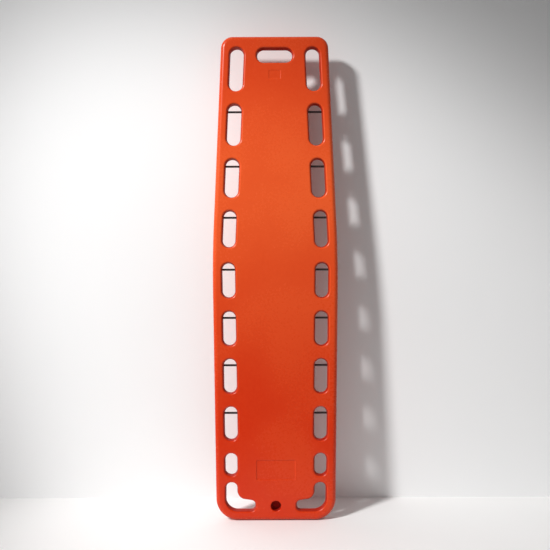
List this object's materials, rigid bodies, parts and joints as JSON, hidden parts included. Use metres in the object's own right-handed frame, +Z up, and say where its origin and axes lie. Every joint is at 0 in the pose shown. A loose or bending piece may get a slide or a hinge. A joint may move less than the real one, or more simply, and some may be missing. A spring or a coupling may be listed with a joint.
{
  "type": "spine board",
  "caption": "Long flat rescue board in hollow moulded plastic, with rounded handholes, strap pins across them, a head grip and L-shaped foot corner slots.",
  "frame": {"origin": "centre of the footprint, on the ground under the runners", "axes": "+Z up out of the face that the patient lies on, +Y towards the head end, +X to the right as seen from above with the head end at the top"},
  "size_m": [0.4752, 1.83, 0.05],
  "materials": {
    "shell_plastic": "satin orange polyethylene with a fine moulded grain",
    "core_foam": "rigid polyurethane foam",
    "tube_composite": "matt glass-fibre composite tube",
    "plug_plastic": "satin orange polyethylene",
    "pin_plastic": "smooth black nylon"
  },
  "bodies": {
    "root": {"board_shell": "shell_plastic", "foam_core": "core_foam", "stiffener_tube_left": "tube_composite", "stiffener_tube_right": "tube_composite", "fill_plug": "plug_plastic", "strap_pin_left_2": "pin_plastic", "strap_pin_left_3": "pin_plastic", "strap_pin_left_4": "pin_plastic", "strap_pin_left_5": "pin_plastic", "strap_pin_left_6": "pin_plastic", "strap_pin_left_7": "pin_plastic", "strap_pin_left_8": "pin_plastic", "strap_pin_right_2": "pin_plastic", "strap_pin_right_3": "pin_plastic", "strap_pin_right_4": "pin_plastic", "strap_pin_right_5": "pin_plastic", "strap_pin_right_6": "pin_plastic", "strap_pin_right_7": "pin_plastic", "strap_pin_right_8": "pin_plastic"}
  },
  "joints": []
}
